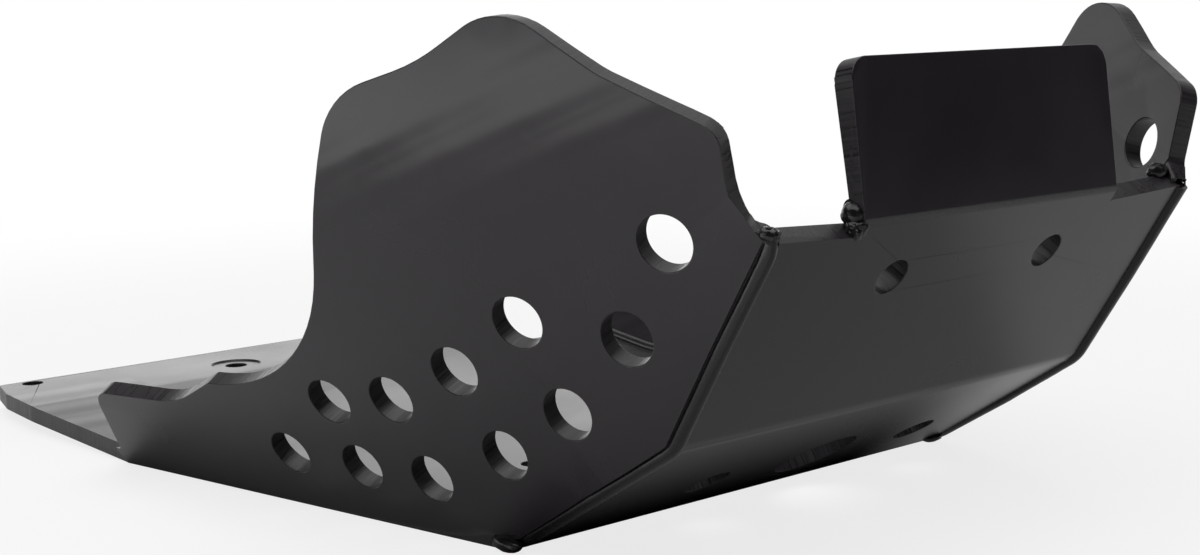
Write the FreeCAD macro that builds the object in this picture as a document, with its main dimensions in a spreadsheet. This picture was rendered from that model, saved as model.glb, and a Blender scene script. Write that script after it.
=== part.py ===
import FreeCAD, Part
import math
import os

import Sketcher
from FreeCAD import Placement, Rotation, Vector

# A skid plate folded from one sheet of black polyethylene. The flat base lies on
# z = 0, the front is -Y, and the origin is the middle of the flat underside.

os.makedirs("parts", exist_ok=True)
doc = FreeCAD.newDocument("skid_plate")

SAME_PLACE = 0.01
LEAST_CUT = 1.0

SIZES = {
    # sheet and base
    "sheet_thickness": 8.0,
    "base_length": 235.0,
    "base_front_half": 124.8,
    "base_rear_half": 163.8,
    # folds along the middle, front to back
    "slope_length": 95.6,
    "slope_angle": 31.6,
    "front_length": 95.3,
    "front_angle": 57.5,
    "tab_length": 53.0,
    "tab_angle": 99.3,
    "lower_bend_radius": 8.0,
    "upper_bend_radius": 16.0,
    "tab_bend_radius": 5.0,
    # tab and the top edge of the front plate beside it
    "tab_width": 144.4,
    "tab_middle": -3.2,
    "tab_corner_radius": 8.0,
    "front_edge_drop": 8.3,
    "front_corner_drop": 6.3,
    # rear: a gentle rise, a level flap, and the cut-out on the left
    "rise_length": 96.0,
    "rise_height": 4.5,
    "flap_length": 63.0,
    "tail_half_width": 167.0,
    "tail_blend_radius": 48.0,
    "tail_taper_length": 25.2,
    "tail_taper_inset": 3.3,
    "tail_corner_inset": 10.0,
    "tail_corner_radius": 16.0,
    "cutout_edge": 92.0,
    "cutout_radius": 12.0,
    # side walls
    "wall_lean_front": 14.94,
    "wall_lean_rear": 34.47,
    "wall_bow_radius": 703.0,
    "wall_height": 198.4,
    "wall_tail_height": 40.0,
    "left_wall_extra": 62.0,
    # soft bend that brings the top of a wall back inwards
    "soft_bend_back": 39.8,
    "soft_bend_height": 103.7,
    "soft_bend_slant": 22.4,
    "soft_bend_width": 49.0,
    "soft_bend_radius": 116.0,
    # holes
    "lightening_hole": 20.0,
    "left_front_hole": 20.5,
    "front_hole": 14.6,
    "front_hole_spacing": 89.4,
    "front_hole_middle": -1.1,
    "front_hole_height": 66.2,
    "slope_hole_small": 19.0,
    "slope_hole_large": 36.0,
    "slope_hole_height": 33.0,
    "slope_hole_middle": 12.0,
    "slope_hole_spacing": 62.0,
    "drain_hole": 30.0,
    "drain_hole_side": 54.0,
    "drain_hole_back": 80.0,
    "rear_bolt_hole": 11.5,
    "rear_bolt_recess": 26.6,
    "rear_recess_depth": 0.8,
    "rear_bolt_spacing": 80.0,
    "rear_bolt_inset": 41.5,
    "corner_hole": 10.5,
    "corner_hole_side": 142.0,
    "corner_hole_inset": 8.0,
    # weld beads
    "outer_bead_radius": 3.6,
    "outer_bead_depth": 2.35,
    "outer_bead_start": 3.5,
    "undercut_radius": 1.2,
    "undercut_offset": 4.7,
    "undercut_depth": 0.35,
    "inner_bead_radius": 3.0,
    "inner_bead_stand": 0.8,
    "tab_bead_radius": 3.6,
    "tab_bead_end_radius": 2.0,
    "tab_bead_end_length": 2.4,
    "tab_bead_overhang": 0.6,
}

sheet = doc.addObject("Spreadsheet::Sheet", "Sizes")
for row, (alias, value) in enumerate(SIZES.items(), start=1):
    sheet.set(f"A{row}", alias)
    sheet.set(f"B{row}", str(value))
    sheet.setAlias(f"B{row}", alias)
doc.recompute()


def size(alias):
    return float(getattr(sheet, alias))


def bind(obj, prop, formula):
    obj.setExpression(prop, formula)


def cosd(angle):
    return math.cos(math.radians(angle))


def sind(angle):
    return math.sin(math.radians(angle))


# Corners of the underside, seen from the side as (y, z)

front_bend_y = -size("base_length") / 2
rear_bend_y = size("base_length") / 2


def step(start, length, angle):
    return (start[0] - length * cosd(angle), start[1] + length * sind(angle))


FRONT_BEND = (front_bend_y, 0.0)
UPPER_BEND = step(FRONT_BEND, size("slope_length"), size("slope_angle"))
TAB_BEND = step(UPPER_BEND, size("front_length"), size("front_angle"))
TAB_TOP = step(TAB_BEND, size("tab_length"), size("tab_angle"))
REAR_BEND = (rear_bend_y, 0.0)
FLAP_BEND = (rear_bend_y + size("rise_length"), size("rise_height"))
REAR_EDGE = (FLAP_BEND[0] + size("flap_length"), size("rise_height"))
FRONT_CORNER = step(UPPER_BEND, size("front_length") - size("front_corner_drop"), size("front_angle"))

# The same corners as sheet formulas, for the sketch's constraints
HALF = "Sizes.base_length / 2"
UPPER_Y = f"(-{HALF} - Sizes.slope_length * cos(Sizes.slope_angle))"
UPPER_Z = "(Sizes.slope_length * sin(Sizes.slope_angle))"
TAB_Y = f"({UPPER_Y} - Sizes.front_length * cos(Sizes.front_angle))"
TAB_Z = f"({UPPER_Z} + Sizes.front_length * sin(Sizes.front_angle))"
TAB_TOP_Y = f"{TAB_Y} - Sizes.tab_length * cos(Sizes.tab_angle)"
TAB_TOP_Z = f"{TAB_Z} + Sizes.tab_length * sin(Sizes.tab_angle)"
CORNER_FORMULAS = [
    (TAB_TOP_Y, TAB_TOP_Z),
    (TAB_Y, TAB_Z),
    (UPPER_Y, UPPER_Z),
    (f"-{HALF}", "0"),
    (HALF, "0"),
    (f"{HALF} + Sizes.rise_length", "Sizes.rise_height"),
    (f"{HALF} + Sizes.rise_length + Sizes.flap_length", "Sizes.rise_height"),
]


def offset_corners(corners, distance):
    # The inner corners lie where the inner faces of two neighbouring panels meet
    inner = []
    for i, here in enumerate(corners):
        before = corners[max(i - 1, 0)]
        after = corners[min(i + 1, len(corners) - 1)]
        normals = []
        for start, end in ((before, here), (here, after)):
            length = math.dist(start, end)
            if length > 0:
                normals.append((-(end[1] - start[1]) / length, (end[0] - start[0]) / length))
        if len(normals) == 1:
            normals = normals * 2
        across = (normals[0][0] + normals[1][0], normals[0][1] + normals[1][1])
        scale = distance / (1 + normals[0][0] * normals[1][0] + normals[0][1] * normals[1][1])
        inner.append((here[0] + across[0] * scale, here[1] + across[1] * scale))
    return inner


outer_corners = [TAB_TOP, TAB_BEND, UPPER_BEND, FRONT_BEND, REAR_BEND, FLAP_BEND, REAR_EDGE]
inner_corners = offset_corners(outer_corners, size("sheet_thickness"))


# Sheet with its cross folds

def new_body(name):
    return doc.addObject("PartDesign::Body", name)


def origin_plane(body, role):
    return next(item for item in body.Origin.OriginFeatures if item.Role == role)


def new_sketch(body, name, role, offset=None):
    sketch = body.newObject("Sketcher::SketchObject", name)
    sketch.AttachmentSupport = [(origin_plane(body, role), "")]
    sketch.MapMode = "FlatFace"
    if offset:
        sketch.AttachmentOffset = offset
    return sketch


def edges_along_x(shape, points):
    names = []
    for number, edge in enumerate(shape.Edges, start=1):
        ends = [vertex.Point for vertex in edge.Vertexes]
        if len(ends) != 2 or abs(ends[0].x - ends[1].x) < 1:
            continue
        for y, z in points:
            if all(math.hypot(end.y - y, end.z - z) < SAME_PLACE for end in ends):
                names.append(f"Edge{number}")
    return names


sheet_body = new_body("sheet_body")
profile = new_sketch(sheet_body, "fold_profile", "YZ_Plane")
ring = outer_corners + inner_corners[::-1]
for i, corner in enumerate(ring):
    following = ring[(i + 1) % len(ring)]
    profile.addGeometry(Part.LineSegment(Vector(*corner, 0), Vector(*following, 0)), False)
count = len(ring)
panels = len(outer_corners) - 1
for i in range(count):
    profile.addConstraint(Sketcher.Constraint("Coincident", i, 2, (i + 1) % count, 1))
for i, (across, up) in enumerate(CORNER_FORMULAS):
    for axis, formula, value in (("X", across, outer_corners[i][0]), ("Y", up, outer_corners[i][1])):
        if formula == "0":
            profile.addConstraint(Sketcher.Constraint("PointOnObject", i, 1, -1))
            continue
        index = profile.addConstraint(Sketcher.Constraint(f"Distance{axis}", -1, 1, i, 1, value))
        profile.renameConstraint(index, f"corner_{i}_{axis}")
        bind(profile, f"Constraints.corner_{i}_{axis}", formula)
for i in range(panels):
    facing = count - 2 - i
    profile.addConstraint(Sketcher.Constraint("Parallel", i, facing))
    gap = Sketcher.Constraint("Distance", facing, 1, i, size("sheet_thickness"))
    index = profile.addConstraint(gap)
    profile.renameConstraint(index, f"thickness_{i}")
    bind(profile, f"Constraints.thickness_{i}", "Sizes.sheet_thickness")
profile.addConstraint(Sketcher.Constraint("Perpendicular", 0, count - 1))
profile.addConstraint(Sketcher.Constraint("Perpendicular", panels - 1, panels))

folded = sheet_body.newObject("PartDesign::Pad", "folded_blank")
folded.Profile = profile
folded.SideType = "Symmetric"
bind(folded, "Length", "3 * Sizes.base_rear_half")
doc.recompute()

bends = [
    ("lower_bend", FRONT_BEND, "Sizes.lower_bend_radius"),
    ("upper_bend", UPPER_BEND, "Sizes.upper_bend_radius"),
    ("upper_bend_inside", inner_corners[2], "Sizes.upper_bend_radius - Sizes.sheet_thickness"),
    ("tab_bend", TAB_BEND, "Sizes.tab_bend_radius"),
]
last = folded
for name, corner, radius in bends:
    fillet = sheet_body.newObject("PartDesign::Fillet", name)
    fillet.Base = (last, edges_along_x(last.Shape, [corner]))
    bind(fillet, "Radius", radius)
    doc.recompute()
    last = fillet


def tilted(corner, angle):
    # A sketch plane on a sloping panel: x across, y up the panel from its lower bend
    return Placement(Vector(0, *corner), Rotation(Vector(1, 0, 0), 180 - angle))


def add_polygon(sketch, points):
    first = sketch.GeometryCount
    for i, point in enumerate(points):
        following = points[(i + 1) % len(points)]
        sketch.addGeometry(Part.LineSegment(Vector(*point, 0), Vector(*following, 0)), False)
    for i in range(len(points)):
        sketch.addConstraint(
            Sketcher.Constraint("Coincident", first + i, 2, first + (i + 1) % len(points), 1)
        )
    return first


def add_circle(sketch, name, x, y, diameter_alias):
    index = sketch.addGeometry(
        Part.Circle(Vector(x, y, 0), Vector(0, 0, 1), size(diameter_alias) / 2), False
    )
    for axis, value in (("X", x), ("Y", y)):
        if abs(value) > SAME_PLACE:
            sketch.addConstraint(Sketcher.Constraint(f"Distance{axis}", -1, 1, index, 3, value))
        else:
            other = -2 if axis == "X" else -1
            sketch.addConstraint(Sketcher.Constraint("PointOnObject", index, 3, other))
    number = sketch.addConstraint(Sketcher.Constraint("Diameter", index, size(diameter_alias)))
    sketch.renameConstraint(number, name)
    bind(sketch, f"Constraints.{name}", f"Sizes.{diameter_alias}")


def cut_through(body, sketch, name, depth):
    pocket = body.newObject("PartDesign::Pocket", name)
    pocket.Profile = sketch
    pocket.SideType = "Symmetric"
    bind(pocket, "Length", depth)
    before = body.Shape.Volume
    doc.recompute()
    if pocket.Shape.Volume >= before - LEAST_CUT:
        raise RuntimeError(f"{name} cuts nothing")
    return pocket


# Front plate: its top edge on each side of the tab, and two bolt holes

front_plane = tilted(UPPER_BEND, size("front_angle"))
edge_height = size("front_length") - size("front_edge_drop")
side_reach = 1.6 * size("base_rear_half")
tab_left = size("tab_middle") + size("tab_width") / 2
tab_right = size("tab_middle") - size("tab_width") / 2
edge_top = size("front_length") + size("tab_length")
edge_sketch = new_sketch(sheet_body, "front_edge_sketch", "XY_Plane", front_plane)
for near, far in ((tab_left, side_reach), (tab_right, -side_reach)):
    add_polygon(edge_sketch, [(near, edge_height), (far, edge_height), (far, edge_top), (near, edge_top)])
cut_through(sheet_body, edge_sketch, "front_edge", "3 * Sizes.tab_length")

front_sketch = new_sketch(sheet_body, "front_hole_sketch", "XY_Plane", front_plane)
for name, side in (("front_hole_right", -1), ("front_hole_left", 1)):
    across = size("front_hole_middle") + side * size("front_hole_spacing") / 2
    add_circle(front_sketch, name, across, size("front_hole_height"), "front_hole")
cut_through(sheet_body, front_sketch, "front_holes", "4 * Sizes.sheet_thickness")

# Lower slope: a large hole between two small ones

slope_sketch = new_sketch(
    sheet_body, "slope_hole_sketch", "XY_Plane", tilted(FRONT_BEND, size("slope_angle"))
)
SLOPE_HOLES = [
    ("slope_hole_right", -1, "slope_hole_small"),
    ("slope_hole_centre", 0, "slope_hole_large"),
    ("slope_hole_left", 1, "slope_hole_small"),
]
for name, side, diameter in SLOPE_HOLES:
    across = size("slope_hole_middle") + side * size("slope_hole_spacing")
    add_circle(slope_sketch, name, across, size("slope_hole_height"), diameter)
cut_through(sheet_body, slope_sketch, "slope_holes", "4 * Sizes.sheet_thickness")

# Base and rear flap: drain hole, recessed bolt holes, corner hole

bolt_y = REAR_EDGE[0] - size("rear_bolt_inset")
base_sketch = new_sketch(sheet_body, "base_hole_sketch", "XY_Plane")
add_circle(
    base_sketch, "drain", -size("drain_hole_side"), front_bend_y + size("drain_hole_back"), "drain_hole"
)
for name, side in (("rear_bolt_right", -1), ("rear_bolt_left", 1)):
    add_circle(base_sketch, name, side * size("rear_bolt_spacing") / 2, bolt_y, "rear_bolt_hole")
add_circle(
    base_sketch, "corner", -size("corner_hole_side"), REAR_EDGE[0] - size("corner_hole_inset"), "corner_hole"
)
cut_through(sheet_body, base_sketch, "base_holes", "8 * Sizes.sheet_thickness")

flap_top = size("rise_height") + size("sheet_thickness")
recess_sketch = new_sketch(
    sheet_body, "recess_sketch", "XY_Plane", Placement(Vector(0, 0, flap_top), Rotation())
)
for name, side in (("recess_right", -1), ("recess_left", 1)):
    add_circle(recess_sketch, name, side * size("rear_bolt_spacing") / 2, bolt_y, "rear_bolt_recess")
cut_through(sheet_body, recess_sketch, "bolt_recesses", "2 * Sizes.rear_recess_depth")


# Outlines with rounded corners

def rounded_edges(corners):
    # Straight runs joined by tangent arcs; each corner is (x, y, radius)
    pieces = []
    ends = []
    total = len(corners)
    for i, (x, y, radius) in enumerate(corners):
        here = Vector(x, y, 0)
        if radius == 0:
            ends.append((here, here, None))
            continue
        back = (Vector(*corners[i - 1][:2], 0) - here).normalize()
        ahead = (Vector(*corners[(i + 1) % total][:2], 0) - here).normalize()
        half_turn = (math.pi - back.getAngle(ahead)) / 2
        reach = radius * math.tan(half_turn)
        middle = (back + ahead).normalize() * (radius / math.cos(half_turn) - radius)
        ends.append((here + back * reach, here + ahead * reach, here + middle))
    for i, (start, end, middle) in enumerate(ends):
        if middle is not None:
            pieces.append(Part.Arc(start, middle, end))
        following = ends[(i + 1) % total][0]
        if end.distanceToPoint(following) > SAME_PLACE:
            pieces.append(Part.LineSegment(end, following))
    return pieces


def add_outline(sketch, corners):
    for piece in rounded_edges(corners):
        sketch.addGeometry(piece, False)


# Rear outline: the right edge of the tail, and the cut-out behind the left wall

cutout_y = rear_bend_y + size("left_wall_extra")
tail_half = size("tail_half_width")
tail_end_half = tail_half - size("tail_corner_inset")
taper_start = REAR_EDGE[0] - size("tail_taper_length")
beyond = REAR_EDGE[0] + size("flap_length")
right_edge = [
    (-side_reach, rear_bend_y, 0),
    (-size("base_rear_half"), rear_bend_y, 0),
    (-tail_half, FLAP_BEND[0], size("tail_blend_radius")),
    (size("tail_taper_inset") - tail_half, taper_start, size("tail_corner_radius")),
    (-tail_end_half, REAR_EDGE[0], 0),
    (-tail_end_half, beyond, 0),
    (-side_reach, beyond, 0),
]
left_edge = [
    (side_reach, cutout_y, 0),
    (size("cutout_edge"), cutout_y, size("cutout_radius")),
    (size("cutout_edge"), beyond, 0),
    (side_reach, beyond, 0),
]
rear_sketch = new_sketch(sheet_body, "rear_outline_sketch", "XY_Plane")
add_outline(rear_sketch, right_edge)
add_outline(rear_sketch, left_edge)
cut_through(sheet_body, rear_sketch, "rear_outline", "8 * Sizes.sheet_thickness")


def edges_near(shape, test):
    return [f"Edge{number}" for number, edge in enumerate(shape.Edges, start=1) if test(edge)]


def is_tab_corner(edge):
    ends = [vertex.Point for vertex in edge.Vertexes]
    if len(ends) != 2 or edge.Length > 1.2 * size("sheet_thickness"):
        return False
    on_side = all(min(abs(end.x - tab_left), abs(end.x - tab_right)) < SAME_PLACE for end in ends)
    return on_side and min(end.z for end in ends) > TAB_TOP[1] - 2 * size("sheet_thickness")


cut_sheet = sheet_body.Tip
tab_corners = sheet_body.newObject("PartDesign::Fillet", "tab_corners")
tab_corners.Base = (cut_sheet, edges_near(cut_sheet.Shape, is_tab_corner))
bind(tab_corners, "Radius", "Sizes.tab_corner_radius")
doc.recompute()


# Side surface: the outer face of a wall leans out more towards the rear and bows
# slightly. Above a slanting line it curves back inwards, in a soft bend of one radius.

WIDENING = (size("base_rear_half") - size("base_front_half")) / size("base_length")
LEAN_FRONT = math.tan(math.radians(size("wall_lean_front")))
LEAN_CHANGE = (math.tan(math.radians(size("wall_lean_rear"))) - LEAN_FRONT) / size("base_length")
BOW = 1 / (2 * size("wall_bow_radius"))
SLANT_COS = cosd(size("soft_bend_slant"))
SLANT_SIN = sind(size("soft_bend_slant"))
BEND_WIDTH = size("soft_bend_width")
BEND_SLOPE = BEND_WIDTH / size("soft_bend_radius")


def past_bend(back, height):
    # Distance above the soft bend's first line, square to it
    return (back - size("soft_bend_back")) * SLANT_SIN + (height - size("soft_bend_height")) * SLANT_COS


def along_bend(back, height):
    return (back - size("soft_bend_back")) * SLANT_COS - (height - size("soft_bend_height")) * SLANT_SIN


def pulled_in(past):
    # How far the bend brings the surface inwards
    if past <= 0:
        return 0
    if past < BEND_WIDTH:
        return past**2 / (2 * size("soft_bend_radius"))
    return BEND_SLOPE * (past - BEND_WIDTH / 2)


def half_width(back, height):
    straight = size("base_front_half") + WIDENING * back + LEAN_FRONT * height
    return straight + LEAN_CHANGE * back * height + BOW * height**2 - pulled_in(past_bend(back, height))


def wall_point(side, back, height):
    return Vector(side * half_width(back, height), front_bend_y + back, height)


def wall_normal(side, back, height):
    # Unit normal of the outer face, pointing into the wall
    turned = BEND_SLOPE * min(max(past_bend(back, height) / BEND_WIDTH, 0), 1)
    across = Vector(
        -side,
        WIDENING + LEAN_CHANGE * height - turned * SLANT_SIN,
        LEAN_FRONT + LEAN_CHANGE * back + 2 * BOW * height - turned * SLANT_COS,
    )
    return across.normalize()


FRONT_LIMIT = front_bend_y - size("slope_length") - size("front_length")
patch_back = (FRONT_LIMIT - front_bend_y, beyond - front_bend_y)
patch_height = (-2 * size("sheet_thickness"), 1.2 * size("wall_height"))


def polar_product(first, second, along, past):
    # Polar form of the product of two functions of (along, past), each given as its
    # constant and its two slopes. It gives the poles of a surface of degree two.
    mid_along = sum(along) / 2
    mid_past = sum(past) / 2
    total = first[0] * second[0]
    total += (first[0] * second[1] + first[1] * second[0]) * mid_along
    total += (first[0] * second[2] + first[2] * second[0]) * mid_past
    total += first[1] * second[1] * along[0] * along[1]
    total += (first[1] * second[2] + first[2] * second[1]) * mid_along * mid_past
    total += first[2] * second[2] * past[0] * past[1]
    return total


def wall_patch(side):
    # Degree two along the bend and across it, with a knot at each side of the bend, so
    # that the surface holds half_width exactly
    pasts = [past_bend(back, height) for back in patch_back for height in patch_height]
    alongs = [along_bend(back, height) for back in patch_back for height in patch_height]
    near, far = min(alongs), max(alongs)
    low, high = min(pasts), max(pasts)
    one = (1, 0, 0)
    back_form = (size("soft_bend_back"), SLANT_COS, SLANT_SIN)
    height_form = (size("soft_bend_height"), -SLANT_SIN, SLANT_COS)
    spans = [(low, low), (low, 0), (0, BEND_WIDTH), (BEND_WIDTH, high), (high, high)]
    pulls = [0, 0, 0, BEND_SLOPE * high / 2, BEND_SLOPE * (high - BEND_WIDTH / 2)]
    poles = []
    for along in ((near, near), (near, far), (far, far)):
        row = []
        for past, pull in zip(spans, pulls):
            back = polar_product(one, back_form, along, past)
            height = polar_product(one, height_form, along, past)
            width = size("base_front_half") + WIDENING * back + LEAN_FRONT * height - pull
            width += LEAN_CHANGE * polar_product(back_form, height_form, along, past)
            width += BOW * polar_product(height_form, height_form, along, past)
            row.append(Vector(side * width, front_bend_y + back, height))
        poles.append(row)
    surface = Part.BSplineSurface()
    knots = [low, 0, BEND_WIDTH, high]
    surface.buildFromPolesMultsKnots(poles, [3, 3], [3, 1, 1, 3], [near, far], knots, False, False, 2, 2)
    return surface.toShape()


def add_shape(name, shape):
    feature = doc.addObject("Part::Feature", name)
    feature.Shape = shape
    return feature


def extrude(name, base, direction, formula, solid=True):
    feature = doc.addObject("Part::Extrusion", name)
    feature.Base = base
    feature.DirMode = "Custom"
    feature.Dir = direction
    feature.Solid = solid
    bind(feature, "LengthFwd", formula)
    return feature


def common(name, items):
    feature = doc.addObject("Part::MultiCommon", name)
    feature.Shapes = items
    return feature


def fuse(name, items):
    feature = doc.addObject("Part::MultiFuse", name)
    feature.Shapes = items
    return feature


# The space inside both side surfaces trims the folded sheet to its fold lines

surfaces = {}
insides = []
for side_name, side in (("right", -1), ("left", 1)):
    surfaces[side_name] = add_shape(f"{side_name}_surface", wall_patch(side))
    insides.append(
        extrude(f"{side_name}_inside", surfaces[side_name], Vector(-side, 0, 0), "4 * Sizes.base_rear_half")
    )
trimmed = common("trimmed_sheet", [sheet_body] + insides)


# Side walls: the outline is cut from the side surface, then thickened inwards

# Top corners as (back from the front bend, depth below the wall's height, radius), from
# the rear forwards. The left wall has a narrower peak and reaches further forward.
RIGHT_TOP = [
    (15.3, 25.5, 33),
    (-21.7, 14.9, 78),
    (-54.5, -4.8, 23),
    (-86.2, 18.9, 19),
    (-119.5, 36.9, 9),
    (-121.0, 59.4, 40),
]
LEFT_TOP = [
    (5.0, 40.4, 30),
    (-36.5, 29.2, 20),
    (-65.5, -8.6, 20),
    (-97.0, 20.6, 30),
    (-129.5, 36.5, 9),
    (-126.8, 64.0, 10),
]
# Rear corners as (forward of the wall's rear end, above the tail's height, radius)
TAIL = [(19.6, -0.5, 14), (72.9, 0.6, 60), (101.4, 13.0, 5.7)]
HOLLOW = (68.8, 14.7, 99)


def wall_corners(extra, top_corners):
    # Corners of a wall as (y, z, radius), from the tail forwards and down the folds
    tail_end = rear_bend_y + extra
    low = size("wall_tail_height")
    corners = [(tail_end, size("rise_height") * extra / size("rise_length"), 0)]
    corners += [(tail_end - forward, low + above, radius) for forward, above, radius in TAIL]
    corners.append((front_bend_y + HOLLOW[0], low + HOLLOW[1], HOLLOW[2]))
    top = size("wall_height")
    corners += [(front_bend_y + back, top - below, radius) for back, below, radius in top_corners]
    corners += [
        (*FRONT_CORNER, 0),
        (*UPPER_BEND, size("upper_bend_radius")),
        (*FRONT_BEND, size("lower_bend_radius")),
    ]
    if extra > 0:
        corners.append((*REAR_BEND, 0))
    return corners


SIDE_VIEW = Placement(Vector(0, 0, 0), Rotation(Vector(1, 1, 1), 120))
WALL_ENDS = {"right": (0, RIGHT_TOP), "left": (size("left_wall_extra"), LEFT_TOP)}
walls = []
for side_name, side in (("right", -1), ("left", 1)):
    outline = doc.addObject("Sketcher::SketchObject", f"{side_name}_wall_outline")
    outline.Placement = SIDE_VIEW
    add_outline(outline, wall_corners(*WALL_ENDS[side_name]))
    punch = extrude(f"{side_name}_wall_punch", outline, Vector(side, 0, 0), "2 * Sizes.base_rear_half")
    face = common(f"{side_name}_wall_face", [surfaces[side_name], punch])
    wall = doc.addObject("Part::Offset", f"{side_name}_wall")
    wall.Source = face
    wall.Fill = True
    bind(wall, "Value", f"{-side} * Sizes.sheet_thickness")
    walls.append(wall)

blank = fuse("plate_blank", [trimmed] + walls)

# Holes in the walls, square to the surface: (back from the front bend, height)

LOWER_ROW = [(106.5, 24.9), (67.1, 24.5), (30.8, 24.7), (-9.9, 40.1), (-42.9, 59.9), (-73.8, 90.3)]
UPPER_ROW = [(68.9, 52.2), (36.3, 56.7), (0.9, 71.7), (-32.9, 93.1)]
FRONT_HOLE_RIGHT = (-95.0, 124.5)
FRONT_HOLE_LEFT = (-108.5, 139.2)


def wall_drill(name, side, place, diameter_alias):
    drill = doc.addObject("Part::Cylinder", name)
    bind(drill, "Radius", f"Sizes.{diameter_alias} / 2")
    bind(drill, "Height", "4 * Sizes.sheet_thickness")
    inward = wall_normal(side, *place)
    start = wall_point(side, *place) - inward * size("sheet_thickness")
    drill.Placement = Placement(start, Rotation(Vector(0, 0, 1), inward))
    return drill


drills = []
for side_name, side in (("right", -1), ("left", 1)):
    for number, place in enumerate(LOWER_ROW + UPPER_ROW, start=1):
        drills.append(wall_drill(f"{side_name}_hole_{number}", side, place, "lightening_hole"))
drills.append(wall_drill("right_front_hole", -1, FRONT_HOLE_RIGHT, "lightening_hole"))
drills.append(wall_drill("left_front_hole", 1, FRONT_HOLE_LEFT, "left_front_hole"))


# Weld beads. Each runs along a corner line at a set depth from the panels that meet there.

def panel_normal(angle):
    # Outward normal of a cross panel that rises forwards at this angle
    return Vector(0, -sind(angle), -cosd(angle))


def inset(normals, depths, along=None):
    # The shift that lies at these depths behind these faces
    rows = list(normals)
    values = [-depth for depth in depths]
    if along is not None:
        rows.append(along)
        values.append(0)
    a, b, c = rows
    determinant = a.dot(b.cross(c))
    shift = b.cross(c) * values[0] + c.cross(a) * values[1] + a.cross(b) * values[2]
    return shift * (1 / determinant)


RUNS_ON_CURVE = 2


def corner_line(side, stops, angles, depth_panel, depth_wall):
    # Points along the corner between the cross panels and the wall. A stop is a point
    # (y, z) of the underside, and each angle is that of the panel between two stops. A
    # rising panel's corner is slightly curved, so it is followed in short runs.
    places = []
    for i, angle in enumerate(angles):
        runs = RUNS_ON_CURVE if angle > 0 else 1
        for part in range(runs):
            share = part / runs
            y = stops[i][0] * (1 - share) + stops[i + 1][0] * share
            z = stops[i][1] * (1 - share) + stops[i + 1][1] * share
            places.append((y, z, angles[max(i - 1, 0) : i + 1] if part == 0 else [angle]))
    places.append((*stops[-1], angles[-1:]))
    points = []
    for y, z, met in places:
        wall_out = wall_normal(side, y - front_bend_y, z) * -1
        normals = [panel_normal(angle) for angle in met]
        depths = [depth_panel] * len(normals) + [depth_wall]
        along = wall_out.cross(normals[0]) if len(normals) == 1 else None
        points.append(wall_point(side, y - front_bend_y, z) + inset(normals + [wall_out], depths, along))
    return points


def bead(name, points, radius_formula):
    # A round bead along straight runs, mitred where they meet
    path = add_shape(f"{name}_path", Part.makePolygon(points))
    section = doc.addObject("Part::Circle", f"{name}_section")
    bind(section, "Radius", radius_formula)
    section.Placement = Placement(points[0], Rotation(Vector(0, 0, 1), points[1] - points[0]))
    run = doc.addObject("Part::Sweep", name)
    run.Sections = [section]
    run.Spine = (path, [f"Edge{number}" for number in range(1, len(points))])
    run.Solid = True
    run.Frenet = False
    run.Transition = "Right corner"
    return run


SLOPE = size("slope_angle")
FRONT = size("front_angle")
RISE = -math.degrees(math.atan2(size("rise_height"), size("rise_length")))
BEAD_START = step(FRONT_BEND, size("outer_bead_start"), SLOPE)
sunk = size("outer_bead_depth")
above = size("sheet_thickness") + size("inner_bead_stand")
beads = {}
undercuts = []
for side_name, side in (("right", -1), ("left", 1)):
    front_run = [BEAD_START, UPPER_BEND, FRONT_CORNER]
    outer = corner_line(side, front_run, [SLOPE, FRONT], sunk, sunk)
    beads[f"{side_name}_outer_weld"] = bead(f"{side_name}_outer_bead", outer, "Sizes.outer_bead_radius")
    groove = corner_line(side, front_run, [SLOPE, FRONT], size("undercut_offset"), size("undercut_depth"))
    undercuts.append(bead(f"{side_name}_undercut", groove, "Sizes.undercut_radius"))
    stops = [REAR_BEND, FRONT_BEND, UPPER_BEND, FRONT_CORNER]
    angles = [0, SLOPE, FRONT]
    extra = WALL_ENDS[side_name][0]
    if extra > 0:
        stops.insert(0, (REAR_BEND[0] + extra, size("rise_height") * extra / size("rise_length")))
        angles.insert(0, RISE)
    inner = corner_line(side, stops, angles, above, above)
    beads[f"{side_name}_inner_weld"] = bead(f"{side_name}_inner_bead", inner, "Sizes.inner_bead_radius")

# The tab's bead fills the inside of its fold. Its melted ends taper, and stand out at
# both sides of the tab.

fold = inner_corners[1]
mid_angle = (FRONT + size("tab_angle")) / 2
bead_y = fold[0] + size("inner_bead_stand") * sind(mid_angle)
bead_z = fold[1] + size("inner_bead_stand") * cosd(mid_angle)
tab_run = doc.addObject("Part::Cylinder", "tab_bead_run")
bind(tab_run, "Radius", "Sizes.tab_bead_radius")
bind(tab_run, "Height", "Sizes.tab_width + 2 * Sizes.tab_bead_overhang")
tab_run.Placement = Placement(
    Vector(tab_right - size("tab_bead_overhang"), bead_y, bead_z), Rotation(Vector(0, 0, 1), Vector(1, 0, 0))
)
tab_parts = [tab_run]
for side_name, side, tab_edge in (("right", -1, tab_right), ("left", 1, tab_left)):
    taper = doc.addObject("Part::Cone", f"tab_bead_{side_name}_end")
    bind(taper, "Radius1", "Sizes.tab_bead_radius")
    bind(taper, "Radius2", "Sizes.tab_bead_end_radius")
    bind(taper, "Height", "Sizes.tab_bead_end_length")
    taper.Placement = Placement(
        Vector(tab_edge + side * size("tab_bead_overhang"), bead_y, bead_z),
        Rotation(Vector(0, 0, 1), Vector(side, 0, 0)),
    )
    tab_parts.append(taper)
beads["tab_weld"] = fuse("tab_bead", tab_parts)

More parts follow.
